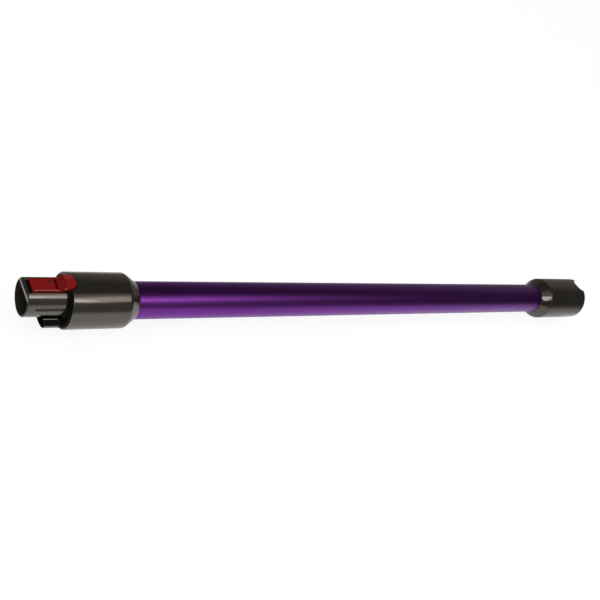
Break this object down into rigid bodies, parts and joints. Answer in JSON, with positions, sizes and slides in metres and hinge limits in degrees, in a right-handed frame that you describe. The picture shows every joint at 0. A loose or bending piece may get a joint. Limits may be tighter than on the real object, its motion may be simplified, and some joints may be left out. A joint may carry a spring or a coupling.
{
  "type": "vacuum extension wand",
  "caption": "Rigid suction wand for a cordless stick vacuum: metal tube with a sprung quick-release spigot at one end and a wired socket cuff at the other.",
  "frame": {"origin": "on the spigot's axis at its open mouth", "axes": "+X along the wand from the spigot to the cuff, +Z towards the release button, +Y completes a right-handed frame; the tube's axis runs parallel to X, 4.8 mm below it"},
  "size_m": [0.772, 0.0522, 0.0522],
  "materials": {
    "anodised_tube": "satin purple anodised",
    "gunmetal_plastic": "gloss gunmetal paint",
    "red_plastic": "gloss",
    "black_gloss_plastic": "gloss",
    "black_plastic": "moulded",
    "rubber": "matt",
    "brass": "turned",
    "steel": "zinc plated",
    "red_insulation": "extruded",
    "black_insulation": "extruded"
  },
  "bodies": {
    "wand": {"wand_tube": "anodised_tube", "wire_duct": "black_plastic", "positive_wire": "red_insulation", "negative_wire": "black_insulation", "spigot": "gunmetal_plastic", "collar": "gunmetal_plastic", "plug_housing": "black_gloss_plastic", "plug_cover": "black_plastic", "plug_contact_left": "brass", "plug_contact_right": "brass", "plug_screws": "steel", "catch_pin": "steel", "catch_spring": "steel", "spigot_gasket": "rubber", "spigot_rivets": "steel", "socket": "black_plastic", "cuff": "gunmetal_plastic", "socket_seal": "rubber", "receptacle_housing": "black_plastic", "receptacle_cover": "black_plastic", "contact_pin_left": "brass", "contact_pin_right": "brass", "receptacle_screws": "steel", "socket_gasket": "rubber", "socket_rivets": "steel"},
    "catch": {"release_catch": "red_plastic"}
  },
  "joints": [
    {"name": "catch_hinge", "type": "hinge", "parent": "wand", "child": "catch", "pos_m": [0.058, 0, 0.0154], "axis": [0, -1, 0], "range_deg": [0, 4.2], "stiffness_Nm_per_rad": 2, "springref_deg": -2.29, "deforming": ["catch_spring"]}
  ]
}
